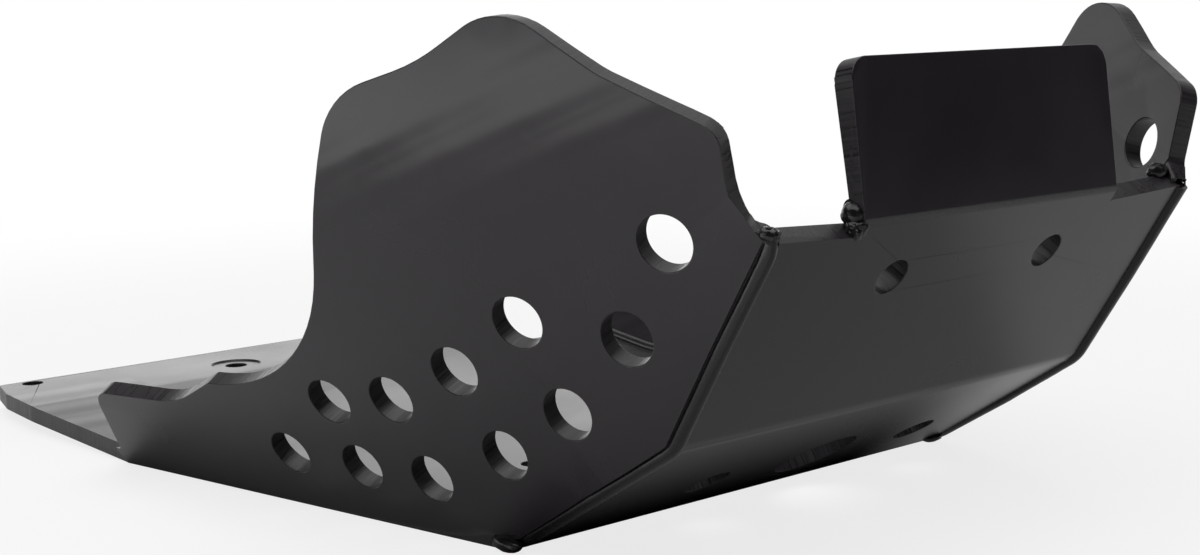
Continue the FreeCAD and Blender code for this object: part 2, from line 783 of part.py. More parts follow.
plate = blank
doc.recompute()
for name, tools in (("holes", drills), ("seats", list(beads.values())), ("undercuts", undercuts)):
    cut = doc.addObject("Part::Cut", f"plate_with_{name}")
    cut.Base = plate
    cut.Tool = fuse(f"{name}_tool", tools)
    cut.Refine = False
    doc.recompute()
    if cut.Shape.Volume >= plate.Shape.Volume - LEAST_CUT:
        raise RuntimeError(f"{name} cut nothing")
    plate = cut

nodes = {"folded_plate": plate}
nodes.update(beads)

for obj in doc.Objects:
    if "Invalid" in obj.State or "Error" in obj.State:
        raise RuntimeError(f"{obj.Name} failed")

for name, obj in nodes.items():
    obj.Label = name
    shape = obj.Shape
    if shape.isNull() or not shape.isValid():
        raise RuntimeError(f"{name} has no valid shape")
    shape.exportStep(f"parts/{name}.step")
    corner = shape.optimalBoundingBox()
    print(name, len(shape.Solids), round(shape.Volume), corner)
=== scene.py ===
import math

import bmesh
import bpy
from mathutils import Matrix, Vector, noise
from mathutils.bvhtree import BVHTree


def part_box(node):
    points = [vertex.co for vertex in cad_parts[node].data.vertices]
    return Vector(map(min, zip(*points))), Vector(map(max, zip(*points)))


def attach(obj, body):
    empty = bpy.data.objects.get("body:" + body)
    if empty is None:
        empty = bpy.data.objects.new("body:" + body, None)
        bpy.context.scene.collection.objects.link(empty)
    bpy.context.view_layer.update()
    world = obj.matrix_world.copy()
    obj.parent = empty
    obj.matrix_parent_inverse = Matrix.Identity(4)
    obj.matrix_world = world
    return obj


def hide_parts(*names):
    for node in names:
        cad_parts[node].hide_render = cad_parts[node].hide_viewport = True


# A black polyethylene skid plate, folded from 8 mm sheet and welded at its corners.
# Metres throughout, in the part's own frame: -Y is the front, +Z is up.

MM = 0.001

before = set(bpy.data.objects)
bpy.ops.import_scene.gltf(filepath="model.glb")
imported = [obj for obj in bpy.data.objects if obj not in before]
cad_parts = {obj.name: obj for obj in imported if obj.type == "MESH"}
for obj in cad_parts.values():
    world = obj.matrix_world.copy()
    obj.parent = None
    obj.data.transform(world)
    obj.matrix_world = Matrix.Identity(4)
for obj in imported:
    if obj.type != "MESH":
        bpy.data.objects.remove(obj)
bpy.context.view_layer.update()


# Colours and nodes

def hex_colour(code):
    # An sRGB hex colour as linear red, green, blue and alpha
    linear = []
    for i in (0, 2, 4):
        value = int(code[i:i + 2], 16) / 255
        linear.append(value / 12.92 if value <= 0.04045 else ((value + 0.055) / 1.055) ** 2.4)
    return (*linear, 1.0)


def add_node(tree, kind, inputs=None, **settings):
    # Adds a node, sets its properties, and sets or links its inputs by name or number
    node = tree.nodes.new(kind)
    for name, value in settings.items():
        setattr(node, name, value)
    for name, value in (inputs or {}).items():
        if isinstance(value, bpy.types.NodeSocket):
            tree.links.new(value, node.inputs[name])
        else:
            node.inputs[name].default_value = value
    return node


def new_material(name):
    material = bpy.data.materials.new(name)
    material.use_nodes = True
    material.node_tree.nodes.clear()
    return material, material.node_tree


# Camera: the photograph's viewing angle, a long-ish lens close to the plate

PHOTO_WIDTH = 1200
FOCAL_PIXELS = 1814.28
SENSOR_WIDTH = 36.0
CAMERA_PLACE = Vector((-526.62, -638.80, 199.03)) * MM
CAMERA_RIGHT = Vector((0.75560, -0.65461, -0.02370))
CAMERA_UP = Vector((0.11266, 0.09423, 0.98916))


def make_camera():
    data = bpy.data.cameras.new("camera")
    data.sensor_width = SENSOR_WIDTH
    data.sensor_fit = "HORIZONTAL"
    data.lens = FOCAL_PIXELS / PHOTO_WIDTH * SENSOR_WIDTH
    camera = bpy.data.objects.new("camera", data)
    bpy.context.collection.objects.link(camera)
    back = CAMERA_RIGHT.cross(CAMERA_UP).normalized()
    turn = Matrix((CAMERA_RIGHT, back.cross(CAMERA_RIGHT), back)).transposed()
    camera.matrix_world = Matrix.Translation(CAMERA_PLACE) @ turn.to_4x4()
    bpy.context.scene.camera = camera
    bpy.context.scene.view_settings.view_transform = "Standard"


# Stage: a white floor under a wide soft light, and a white backdrop that is dark above and
# behind the camera, as in a small product studio

WHITE = (1.0, 1.0, 1.0, 1.0)
KEY_SIZE = 1.6
KEY_PLACE = Vector((-0.2, -0.15, 1.2))
KEY_POWER = 11.8

# The floor's own glow to the camera grows with the distance from the plate
FLOOR_SIZE = 12.0
FLOOR_DROP = 0.05 * MM
FLOOR_GLOW_NEAR = 0.8
SHADOW_REACH = (0.3, 1.1)

# The front floor's painted shade and light in the plate's gloss, dark near the plate and lighter
# towards the far side: an axis, where it starts and ends along it, and its levels there
FLOOR_STEPS = {
    "in_front": ("Y", (-0.1, -0.125), (0.0, 1.0)),
    "beside": ("X", (-0.19, -0.13), (0.0, 1.0)),
    "shade": ("Y", (-0.1175, -0.1925), (0.0, 0.34)),
    "painted_far_light": ("X", (0.06, 0.18), (0.0, 0.58)),
}

# The backdrop's brightness by direction, with the same three entries
SURROUND_DARK = 0.02
SURROUND_LIGHT = 1.76
BACKDROP_STEPS = {
    "behind": ("Y", (-0.55, 0.35), (0.0, 1.0)),
    "high": ("X", (-0.3, 0.4), (0.0, 0.35)),
    "above": ("Z", (0.14, 0.36), (0.0, 1.0)),
    "turn": ("X", (-0.3, 0.4), (0.6, 1.0)),
}

CARD_SIDES = (-1.9, -0.49)
CARD_ENDS = (-0.7, 0.9)
CARD_HEIGHT = 1 * MM
CARD_GLOW = 1.85


def eased_steps(tree, place, wanted):
    # The levels of each entry, eased at both ends of its stretch
    split = add_node(tree, "ShaderNodeSeparateXYZ", {0: place})
    steps = {}
    for name, (axis, span, levels) in wanted.items():
        eased = add_node(
            tree, "ShaderNodeMapRange",
            {
                "Value": split.outputs[axis], "From Min": span[0], "From Max": span[1],
                "To Min": levels[0], "To Max": levels[1],
            },
            interpolation_type="SMOOTHSTEP",
        )
        steps[name] = eased.outputs[0]
    return steps


def make_floor():
    # To the camera the floor is white, and near the object its shadow is mixed in. In the
    # plate's gloss the floor in front of it glows in an even gradient of painted shade and light,
    # without the pools of light that fall through the slope's holes.
    material, tree = new_material("white_floor")
    ray = add_node(tree, "ShaderNodeLightPath")
    place = add_node(tree, "ShaderNodeTexCoord").outputs["Object"]
    far = add_node(tree, "ShaderNodeVectorMath", {0: place}, operation="LENGTH")
    glow_share = add_node(
        tree, "ShaderNodeMapRange",
        {
            "Value": far.outputs["Value"],
            "From Min": SHADOW_REACH[0], "From Max": SHADOW_REACH[1],
            "To Min": FLOOR_GLOW_NEAR, "To Max": 1.0,
        },
        interpolation_type="SMOOTHSTEP",
    )
    paint = add_node(tree, "ShaderNodeBsdfDiffuse", {"Color": hex_colour("f7f7f7")})
    glow = add_node(tree, "ShaderNodeEmission", {"Color": WHITE, "Strength": 1.0})
    share = add_node(
        tree, "ShaderNodeMath",
        {0: ray.outputs["Is Camera Ray"], 1: glow_share.outputs[0]}, operation="MULTIPLY",
    )
    mixed = add_node(
        tree, "ShaderNodeMixShader", {0: share.outputs[0], 1: paint.outputs[0], 2: glow.outputs[0]}
    )
    steps = eased_steps(tree, place, FLOOR_STEPS)
    front = add_node(
        tree, "ShaderNodeMath", {0: steps["in_front"], 1: steps["beside"]}, operation="MULTIPLY"
    )
    mirrored = add_node(
        tree, "ShaderNodeMath",
        {0: front.outputs[0], 1: ray.outputs["Is Glossy Ray"]}, operation="MULTIPLY",
    )
    # Painted shade near the plate's contact and painted light towards the far side, seen only in
    # the gloss
    level = add_node(
        tree, "ShaderNodeMath", {0: steps["shade"], 1: steps["painted_far_light"]}, operation="MAXIMUM"
    )
    even = add_node(tree, "ShaderNodeEmission", {"Color": WHITE, "Strength": level.outputs[0]})
    whole = add_node(
        tree, "ShaderNodeMixShader",
        {0: mirrored.outputs[0], 1: mixed.outputs[0], 2: even.outputs[0]},
    )
    add_node(tree, "ShaderNodeOutputMaterial", {"Surface": whole.outputs[0]})
    mesh = bpy.data.meshes.new("floor")
    half = FLOOR_SIZE / 2
    corners = [(-half, -half, 0), (half, -half, 0), (half, half, 0), (-half, half, 0)]
    mesh.from_pydata(corners, [], [(0, 1, 2, 3)])
    mesh.materials.append(material)
    floor = bpy.data.objects.new("floor", mesh)
    floor.location.z = -FLOOR_DROP
    bpy.context.collection.objects.link(floor)


def make_world():
    world = bpy.data.worlds.new("surround")
    world.use_nodes = True
    tree = world.node_tree
    tree.nodes.clear()
    bpy.context.scene.world = world
    place = add_node(tree, "ShaderNodeTexCoord")
    steps = eased_steps(tree, place.outputs["Generated"], BACKDROP_STEPS)
    height = add_node(
        tree, "ShaderNodeMix", {0: steps["above"], 2: 1.0, 3: steps["high"]}, data_type="FLOAT"
    )
    even = add_node(
        tree, "ShaderNodeMath", {0: steps["behind"], 1: steps["turn"]}, operation="MULTIPLY"
    )
    backdrop = add_node(
        tree, "ShaderNodeMath", {0: even.outputs[0], 1: height.outputs[0]}, operation="MULTIPLY"
    )
    surround = add_node(
        tree, "ShaderNodeMapRange",
        {"Value": backdrop.outputs[0], "To Min": SURROUND_DARK, "To Max": SURROUND_LIGHT},
    )
    ray = add_node(tree, "ShaderNodeLightPath")
    level = add_node(
        tree, "ShaderNodeMix",
        {0: ray.outputs["Is Camera Ray"], 2: surround.outputs[0], 3: 1.0}, data_type="FLOAT",
    )
    glow = add_node(tree, "ShaderNodeBackground", {"Color": WHITE, "Strength": level.outputs[0]})
    add_node(tree, "ShaderNodeOutputWorld", {"Surface": glow.outputs[0]})


def make_key_light():
    data = bpy.data.lights.new("key_light", "AREA")
    data.shape = "SQUARE"
    data.size = KEY_SIZE
    data.energy = KEY_POWER
    light = bpy.data.objects.new("key_light", data)
    light.location = KEY_PLACE
    light.rotation_mode = "QUATERNION"
    light.rotation_quaternion = (-KEY_PLACE).to_track_quat("-Z", "Y")
    bpy.context.collection.objects.link(light)


def make_card():
    # A lit white card lying out of the camera's sight, which the near wall mirrors at its top
    material, tree = new_material("white_card")
    glow = add_node(tree, "ShaderNodeEmission", {"Color": WHITE, "Strength": CARD_GLOW})
    add_node(tree, "ShaderNodeOutputMaterial", {"Surface": glow.outputs[0]})
    mesh = bpy.data.meshes.new("card")
    turns = ((0, 0), (1, 0), (1, 1), (0, 1))
    corners = [(CARD_SIDES[i], CARD_ENDS[j], CARD_HEIGHT) for i, j in turns]
    mesh.from_pydata(corners, [], [(0, 1, 2, 3)])
    mesh.materials.append(material)
    card = bpy.data.objects.new("card", mesh)
    card.visible_camera = False
    bpy.context.collection.objects.link(card)


# Black polyethylene sheet: pressed smooth between plates, so it is satin, with a faint
# orange peel, slight clouding in the gloss and the cold grey cast of carbon black. The
# press bars that bent the walls left three soft ridges along the bend.

BEND_SLANT = math.radians(22.4)
BEND_START = Vector((0, -77.7, 103.7)) * MM
PRESS_MARKS = (7 * MM, 20 * MM, 33.5 * MM)
PRESS_MARK_WIDTH = 11 * MM
PRESS_MARK_HEIGHT = 0.15 * MM
CROSS_SLANT = math.radians(-132.4)
CROSS_MARKS = (184.6 * MM, 147 * MM)
CROSS_MARK_SHARE = 0.35
WALL_INSIDE = 100 * MM
SHEET_GRAIN = 1.4 * MM
SHEET_GRAIN_HEIGHT = 0.02 * MM
SHEET_CLOUD = 55 * MM
SHEET_WAVE = 70 * MM
SHEET_WAVE_HEIGHT = 0.15 * MM
POLYETHYLENE_IOR = 1.51


def press_ridges(tree, place):
    # Height, from 0 to 1, of the ridges along the soft bend of both walls, and of the fainter
    # ones that cross them
    uphill = Vector((0, math.sin(BEND_SLANT), math.cos(BEND_SLANT)))
    across = Vector((0, math.sin(CROSS_SLANT), math.cos(CROSS_SLANT)))
    marks = [(uphill, uphill.dot(BEND_START) + mark, 1.0) for mark in PRESS_MARKS]
    marks += [(across, mark, CROSS_MARK_SHARE) for mark in CROSS_MARKS]
    ridges = []
    for direction, line, share in marks:
        dot = add_node(
            tree, "ShaderNodeVectorMath", {0: place, 1: direction}, operation="DOT_PRODUCT"
        )
        gap = add_node(
            tree, "ShaderNodeMath", {0: dot.outputs["Value"], 1: line}, operation="SUBTRACT"
        )
        size = add_node(tree, "ShaderNodeMath", {0: gap.outputs[0]}, operation="ABSOLUTE")
        ridge = add_node(
            tree, "ShaderNodeMapRange",
            {
                "Value": size.outputs[0], "From Min": 0.0, "From Max": PRESS_MARK_WIDTH / 2,
                "To Min": share, "To Max": 0.0,
            },
            interpolation_type="SMOOTHSTEP",
        )
        ridges.append(ridge)
    total = ridges[0]
    for ridge in ridges[1:]:
        total = add_node(
            tree, "ShaderNodeMath", {0: total.outputs[0], 1: ridge.outputs[0]}, operation="ADD"
        )
    split = add_node(tree, "ShaderNodeSeparateXYZ", {0: place})
    side = add_node(tree, "ShaderNodeMath", {0: split.outputs["X"]}, operation="ABSOLUTE")
    wall = add_node(
        tree, "ShaderNodeMath", {0: side.outputs[0], 1: WALL_INSIDE}, operation="GREATER_THAN"
    )
    height = add_node(
        tree, "ShaderNodeMath", {0: total.outputs[0], 1: wall.outputs[0]}, operation="MULTIPLY"
    )
    return height.outputs[0]


def sheet_material():
    material, tree = new_material("pressed_polyethylene_sheet")
    place = add_node(tree, "ShaderNodeTexCoord").outputs["Object"]
    grain = add_node(
        tree, "ShaderNodeTexNoise",
        {"Vector": place, "Scale": 1 / SHEET_GRAIN, "Detail": 3.0, "Roughness": 0.6},
    )
    cloud = add_node(
        tree, "ShaderNodeTexNoise",
        {"Vector": place, "Scale": 1 / SHEET_CLOUD, "Detail": 5.0, "Roughness": 0.55},
    )
    wave = add_node(
        tree, "ShaderNodeTexNoise",
        {"Vector": place, "Scale": 1 / SHEET_WAVE, "Detail": 1.0, "Roughness": 0.4},
    )
    tone = add_node(
        tree, "ShaderNodeMix",
        {0: cloud.outputs["Fac"], 6: hex_colour("211c21"), 7: hex_colour("2a252a")},
        data_type="RGBA",
    )
    rough = add_node(
        tree, "ShaderNodeMapRange",
        {
            "Value": cloud.outputs["Fac"], "From Min": 0.25, "From Max": 0.75,
            "To Min": 0.21, "To Max": 0.29,
        },
    )
    wavy = add_node(
        tree, "ShaderNodeBump",
        {"Height": wave.outputs["Fac"], "Strength": 1.0, "Distance": SHEET_WAVE_HEIGHT},
    )
    ridged = add_node(
        tree, "ShaderNodeBump",
        {
            "Height": press_ridges(tree, place), "Strength": 1.0,
            "Distance": PRESS_MARK_HEIGHT, "Normal": wavy.outputs[0],
        },
    )
    bump = add_node(
        tree, "ShaderNodeBump",
        {
            "Height": grain.outputs["Fac"], "Strength": 0.3,
            "Distance": SHEET_GRAIN_HEIGHT, "Normal": ridged.outputs[0],
        },
    )
    shader = add_node(
        tree, "ShaderNodeBsdfPrincipled",
        {
            "Base Color": tone.outputs[2], "Roughness": rough.outputs[0],
            "IOR": POLYETHYLENE_IOR, "Normal": bump.outputs[0],
        },
    )
    add_node(tree, "ShaderNodeOutputMaterial", {"Surface": shader.outputs[0]})
    return material


# The same sheet where a router cut it: fine knife marks run across its thickness, duller
# and a little paler than the pressed face. The plate stores each edge's direction across the
# sheet, so that the marks follow it.

KNIFE_MARK = 1.1 * MM
KNIFE_MARK_DEPTH = 0.12 * MM
ACROSS_SHEET = "across_sheet"


def routed_material():
    material, tree = new_material("routed_polyethylene_edge")
    place = add_node(tree, "ShaderNodeTexCoord").outputs["Object"]
    across = add_node(tree, "ShaderNodeAttribute", attribute_name=ACROSS_SHEET).outputs["Vector"]
    depth = add_node(tree, "ShaderNodeVectorMath", {0: place, 1: across}, operation="DOT_PRODUCT")
    shift = add_node(
        tree, "ShaderNodeVectorMath",
        {0: across, "Scale": depth.outputs["Value"]}, operation="SCALE",
    )
    along = add_node(
        tree, "ShaderNodeVectorMath", {0: place, 1: shift.outputs[0]}, operation="SUBTRACT"
    )
    marks = add_node(
        tree, "ShaderNodeTexNoise",
        {"Vector": along.outputs[0], "Scale": 1 / KNIFE_MARK, "Detail": 4.0, "Roughness": 0.75},
    )
    cut = add_node(
        tree, "ShaderNodeMapRange",
        {"Value": marks.outputs["Fac"], "From Min": 0.35, "From Max": 0.65},
    )
    tone = add_node(
        tree, "ShaderNodeMix",
        {0: cut.outputs[0], 6: hex_colour("191619"), 7: hex_colour("363236")}, data_type="RGBA",
    )
    rough = add_node(
        tree, "ShaderNodeMapRange", {"Value": cut.outputs[0], "To Min": 0.22, "To Max": 0.5}
    )
    bump = add_node(
        tree, "ShaderNodeBump",
        {"Height": marks.outputs["Fac"], "Strength": 0.8, "Distance": KNIFE_MARK_DEPTH},
    )
    shader = add_node(
        tree, "ShaderNodeBsdfPrincipled",
        {
            "Base Color": tone.outputs[2], "Roughness": rough.outputs[0],
            "IOR": POLYETHYLENE_IOR, "Normal": bump.outputs[0],
        },
    )
    add_node(tree, "ShaderNodeOutputMaterial", {"Surface": shader.outputs[0]})
    return material


# Welding rod of the same plastic, melted by hot air and pressed in as it was drawn along:
# blacker and glossier than the sheet, and slightly smeared

SMEAR_SIZE = 2.5 * MM
SMEAR_HEIGHT = 0.08 * MM


def weld_material():
    material, tree = new_material("melted_polyethylene_rod")
    place = add_node(tree, "ShaderNodeTexCoord").outputs["Object"]
    smear = add_node(
        tree, "ShaderNodeTexNoise",
        {"Vector": place, "Scale": 1 / SMEAR_SIZE, "Detail": 3.0, "Roughness": 0.5},
    )
    rough = add_node(
        tree, "ShaderNodeMapRange",
        {
            "Value": smear.outputs["Fac"], "From Min": 0.3, "From Max": 0.7,
            "To Min": 0.16, "To Max": 0.32,
        },
    )
    bump = add_node(
        tree, "ShaderNodeBump",
        {"Height": smear.outputs["Fac"], "Strength": 0.6, "Distance": SMEAR_HEIGHT},
    )
    shader = add_node(
        tree, "ShaderNodeBsdfPrincipled",
        {
            "Base Color": hex_colour("1a181b"), "Roughness": rough.outputs[0],
            "IOR": POLYETHYLENE_IOR, "Normal": bump.outputs[0],
        },
    )
    add_node(tree, "ShaderNodeOutputMaterial", {"Surface": shader.outputs[0]})
    return material


# Pieces

MERGE_DISTANCE = 0.002 * MM
RING_GAP = 10 * MM
SAME_PLACE = 0.01 * MM


def merged_copy(node):
    # The CAD node's loose triangles, joined into one skin
    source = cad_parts[node]
    skin = bmesh.new()
    skin.from_mesh(source.data)
    skin.transform(source.matrix_world)
    bmesh.ops.remove_doubles(skin, verts=skin.verts, dist=MERGE_DISTANCE)
    bmesh.ops.dissolve_degenerate(skin, edges=skin.edges, dist=MERGE_DISTANCE)
    return skin


def bead_path(node):
    # Middles of the rings of vertices that the CAD bead has at its ends and at its bends
    low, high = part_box(node)
    axis = max(range(3), key=lambda i: high[i] - low[i])
    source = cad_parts[node]
    places = [source.matrix_world @ vertex.co for vertex in source.data.vertices]
    places.sort(key=lambda place: place[axis])
    rings = [[places[0]]]
    for before, here in zip(places, places[1:]):
        if here[axis] - before[axis] > RING_GAP:
            rings.append([])
        rings[-1].append(here)
    middles = []
    for ring in rings:
        unique = {tuple(round(value / SAME_PLACE) for value in place): place for place in ring}
        middles.append(sum(unique.values(), Vector()) / len(unique))
    return middles


def work_in_modifiers(piece):
    # Turns a piece with modifiers into a plain mesh
    graph = bpy.context.evaluated_depsgraph_get()
    mesh = bpy.data.meshes.new_from_object(piece.evaluated_get(graph), depsgraph=graph)
    piece.modifiers.clear()
    piece.data = mesh


def add_piece(name, mesh):
    piece = bpy.data.objects.new(name, mesh)
    bpy.context.collection.objects.link(piece)
    return piece


# The plate: a copy of the CAD solid with its two side folds rounded as heat-folded sheet is,
# and its cut edges eased. Pressed faces and routed edges get a material each.

SHEET_THICKNESS = 8 * MM
THICKNESS_SLACK = 1.2 * MM
RAY_START = 0.02 * MM
FOLD_ROUNDING = 1.4 * MM
FOLD_LINE_SLACK = 0.05 * MM
EDGE_EASING = 0.45 * MM
EASED_ANGLE = math.radians(32)
ROUNDING_SEGMENTS = 3
BASE_FRONT_HALF = 124.8 * MM
BASE_REAR_HALF = 163.8 * MM
BASE_LENGTH = 235 * MM
PRESSED, ROUTED = 0, 1


def on_fold_line(vertex):
    # True on the lines where the walls leave the base's underside
    back = vertex.co.y + BASE_LENGTH / 2
    half_width = BASE_FRONT_HALF + (BASE_REAR_HALF - BASE_FRONT_HALF) * back / BASE_LENGTH
    off_line = max(abs(vertex.co.z), abs(abs(vertex.co.x) - half_width))
    return off_line < FOLD_LINE_SLACK


def is_pressed(face, tree):
    # A pressed face has the other pressed face one sheet thickness behind it
    middle = face.calc_center_median()
    inward = -face.normal
    depth = tree.ray_cast(middle + inward * RAY_START, inward, 3 * SHEET_THICKNESS)[3]
    return depth is not None and abs(depth - SHEET_THICKNESS) < THICKNESS_SLACK


# On the real plate the outer bead lies on the front plate's side of the corner, and the dark
# groove beside it runs close to the corner. The groove's middle is given from the bead's:
# inwards from the front plate, and inwards from the wall.

OUTER_WELDS = ("right_outer_weld", "left_outer_weld")
GROOVE_SHIFT = 3.5 * MM
GROOVE_CENTRE = Vector((2.35, -3.1)) * MM
GROOVE_REACH = 1.5 * MM
GROOVE_END_SLACK = 1 * MM
WALL_PROBE_BACK = 12 * MM
WALL_PROBE_OUT = 30 * MM


def cross_axes(start, end):
    # Square to a run of the corner: inwards from the front plate, and inwards from the wall
    run = (end - start).normalized()
    behind = Vector((0, run.z, -run.y)).normalized()
    if behind.y < 0:
        behind.negate()
    inside = run.cross(behind).normalized()
    if inside.x * start.x > 0:
        inside.negate()
    return behind, inside


def shift_groove(skin, tree):
    # Moves the groove's vertices along the wall's face, and tags them
    for weld in OUTER_WELDS:
        path = bead_path(weld)
        for start, end in zip(path, path[1:]):
            behind, inside = cross_axes(start, end)
            probe = (start + end) / 2 + behind * WALL_PROBE_BACK - inside * WALL_PROBE_OUT
            wall_normal = tree.ray_cast(probe, inside)[1]
            towards_corner = (-behind - wall_normal * -behind.dot(wall_normal)).normalized()
            length = (end - start).length
            run = (end - start).normalized()
            for vertex in skin.verts:
                offset = vertex.co - start
                at = offset.dot(run)
                if vertex.tag or not -GROOVE_END_SLACK < at < length + GROOVE_END_SLACK:
                    continue
                off_groove = Vector((offset.dot(behind), offset.dot(inside))) - GROOVE_CENTRE
                if off_groove.length < GROOVE_REACH:
                    vertex.co += towards_corner * GROOVE_SHIFT
                    vertex.tag = True


# Through a wall hole the photograph shows only the near tip of the drain hole, so it is small

DRAIN_CENTRE = Vector((-54, -37.5)) * MM
DRAIN_RADIUS = 15 * MM
DRAIN_SLACK = 0.2 * MM
DRAIN_NEW_CENTRE = Vector((-55.5, -43.5)) * MM
DRAIN_NEW_RADIUS = 4.7 * MM


def shrink_drain_hole(skin):
    for vertex in skin.verts:
        offset = vertex.co.xy - DRAIN_CENTRE
        in_base = vertex.co.z < SHEET_THICKNESS + DRAIN_SLACK
        if in_base and offset.length < DRAIN_RADIUS + DRAIN_SLACK:
            vertex.co.xy = DRAIN_NEW_CENTRE + offset.normalized() * DRAIN_NEW_RADIUS


# The front plate's top edge rises towards the walls, the right wall's front edge falls back
# to it, and the tab's fold line lies a little lower

PLATE_UP = Vector((0, -0.5373, 0.8434))
FRONT_REGION = -205 * MM
PLATE_CORNER = 118.5 * MM
PLATE_TOP = 132 * MM
EDGE_DEPTH = 3 * MM
EDGE_RISE = 2.4 * MM
EDGE_RISE_FROM = 78 * MM
EDGE_RISE_TO = 112 * MM
EDGE_FALL = 3.7 * MM
EDGE_FALL_FROM = 160 * MM
EDGE_FALL_TO = 131 * MM
WALL_EDGE_REGION = -233 * MM
RIGHT_WALL_REARWARD = Vector((-0.343, 0.939, 0))
TAB_FOLD_Y = -249.05 * MM
TAB_FOLD_DROP = 3.0 * MM


def limited(share):
    return min(max(share, 0), 1)


def settle_top_corners(skin):
    beside_tab = [
        vertex.co for vertex in skin.verts
        if EDGE_RISE_FROM < abs(vertex.co.x) < EDGE_RISE_TO
        and vertex.co.y < FRONT_REGION and vertex.co.z < PLATE_TOP
    ]
    top = max(PLATE_UP.dot(place) for place in beside_tab)
    for vertex in skin.verts:
        if vertex.co.y < TAB_FOLD_Y:
            vertex.co -= PLATE_UP * TAB_FOLD_DROP
        across = abs(vertex.co.x)
        if vertex.co.y > FRONT_REGION or across < EDGE_RISE_FROM:
            continue
        on_top_edge = PLATE_UP.dot(vertex.co) > top - EDGE_DEPTH and vertex.co.z < PLATE_TOP
        if on_top_edge and across < PLATE_CORNER:
            share = limited((across - EDGE_RISE_FROM) / (EDGE_RISE_TO - EDGE_RISE_FROM))
            vertex.co += PLATE_UP * EDGE_RISE * share
        on_wall = vertex.co.x < -EDGE_RISE_TO and not vertex.tag
        if on_wall and vertex.co.y < WALL_EDGE_REGION and vertex.co.z > EDGE_FALL_TO - EDGE_DEPTH:
            share = limited((EDGE_FALL_FROM - vertex.co.z) / (EDGE_FALL_FROM - EDGE_FALL_TO))
            vertex.co += RIGHT_WALL_REARWARD * EDGE_FALL * share * share * (3 - 2 * share)


SAME_SIDE = math.radians(8)
CURVED_BEND = (math.radians(0.2), math.radians(25))
BEAD_CLEARANCE = 6.5 * MM
WELDS = (*OUTER_WELDS, "right_inner_weld", "left_inner_weld", "tab_weld")


def mark_faces(skin, tree):
    # Pressed faces are found by thickness, then those that run on evenly from them
    pressed = {face for face in skin.faces if is_pressed(face, tree)}
    waiting = list(pressed)
    while waiting:
        for edge in waiting.pop().edges:
            if edge.calc_face_angle(math.pi) < SAME_SIDE:
                fresh = set(edge.link_faces) - pressed
                pressed |= fresh
                waiting += fresh
    for face in skin.faces:
        face.material_index = PRESSED if face in pressed else ROUTED


def is_curved(face):
    # True where the face runs on softly into a neighbour; all others are shaded flat
    bends = [edge.calc_face_angle(0) for edge in face.edges]
    return any(CURVED_BEND[0] < bend < CURVED_BEND[1] for bend in bends)


def store_across(skin):
    # Each edge face's direction across the sheet is a pressed neighbour's normal
    across = skin.faces.layers.float_vector.new(ACROSS_SHEET)
    for face in skin.faces:
        face[across] = face.normal
        for other in (other for edge in face.edges for other in edge.link_faces):
            if other.material_index == PRESSED:
                face[across] = other.normal
                break


def near_bead(place, runs):
    for start, end in runs:
        span = end - start
        share = limited((place - start).dot(span) / span.length_squared)
        if (place - start - span * share).length < BEAD_CLEARANCE:
            return True
    return False


def weight_edges(skin):
    # The rounding of each edge as a share of the folds': none near a bead
    weight = skin.edges.layers.float.new("bevel_weight_edge")
    paths = [bead_path(weld) for weld in WELDS]
    runs = [run for path in paths for run in zip(path, path[1:])]
    for edge in skin.edges:
        if any(near_bead(vertex.co, runs) for vertex in edge.verts):
            continue
        if all(on_fold_line(vertex) for vertex in edge.verts):
            edge[weight] = 1.0
        elif edge.calc_face_angle(0) > EASED_ANGLE:
            edge[weight] = EDGE_EASING / FOLD_ROUNDING


def make_plate(sheet, routed):
    skin = merged_copy("folded_plate")
    tree = BVHTree.FromBMesh(skin)
    for vertex in skin.verts:
        vertex.tag = False
    shift_groove(skin, tree)
    shrink_drain_hole(skin)
    mark_faces(skin, tree)
    for face in skin.faces:
        face.smooth = is_curved(face)
    store_across(skin)
    settle_top_corners(skin)
    weight_edges(skin)
    mesh = bpy.data.meshes.new("plate")
    skin.to_mesh(mesh)
    skin.free()
    mesh.materials.append(sheet)
    mesh.materials.append(routed)
    plate = add_piece("plate", mesh)
    bevel = plate.modifiers.new("rounding", "BEVEL")
    bevel.limit_method = "WEIGHT"
    bevel.width = FOLD_ROUNDING
    bevel.segments = ROUNDING_SEGMENTS
    bevel.use_clamp_overlap = False
    plate.modifiers.new("even_shading", "WEIGHTED_NORMAL").keep_sharp = True
    work_in_modifiers(plate)
    for vertex in plate.data.vertices:
        vertex.co.z = max(vertex.co.z, 0.0)
    return plate


# Weld beads. Each follows the middle of its CAD bead, round the folds in a smooth curve.
# The outer beads are drawn slimmer, further onto the front plate and past both ends.

TAB_BEAD_RADIUS = 3.6 * MM
TAB_BEAD_CUT = 3.0 * MM
INNER_BEAD_RADIUS = 3.0 * MM
RIGHT_BEAD_RADIUS = 2.9 * MM
LEFT_BEAD_RADIUS = 3.3 * MM
OUTER_BEAD_INSIDE = {"right_outer_weld": 1.6 * MM, "left_outer_weld": 1.0 * MM}
OUTER_BEAD_PROUD = 1.05 * MM
OUTER_BEAD_FLOOR = 3.6 * MM
OUTER_BEAD_TAIL = 7.5 * MM
OUTER_BEAD_TOP_CUT = 3.0 * MM
OUTER_BEAD_TOP = {
    "right_outer_weld": Vector((0, 0, 6.2)) * MM,
    "left_outer_weld": Vector((0, -1.6, 2.5)) * MM,
}
BEND_SMOOTHING = 18 * MM
BEAD_STEP = 0.9 * MM
BEAD_UNEVENNESS = 0.25 * MM
STREAK_DEPTH = 0.12 * MM
STREAK_LENGTH = 25 * MM


def add_input(tree, name, kind, default=None):
    socket = tree.interface.new_socket(name, in_out="INPUT", socket_type=f"NodeSocket{kind}")
    if default is not None:
        socket.default_value = default
    return socket


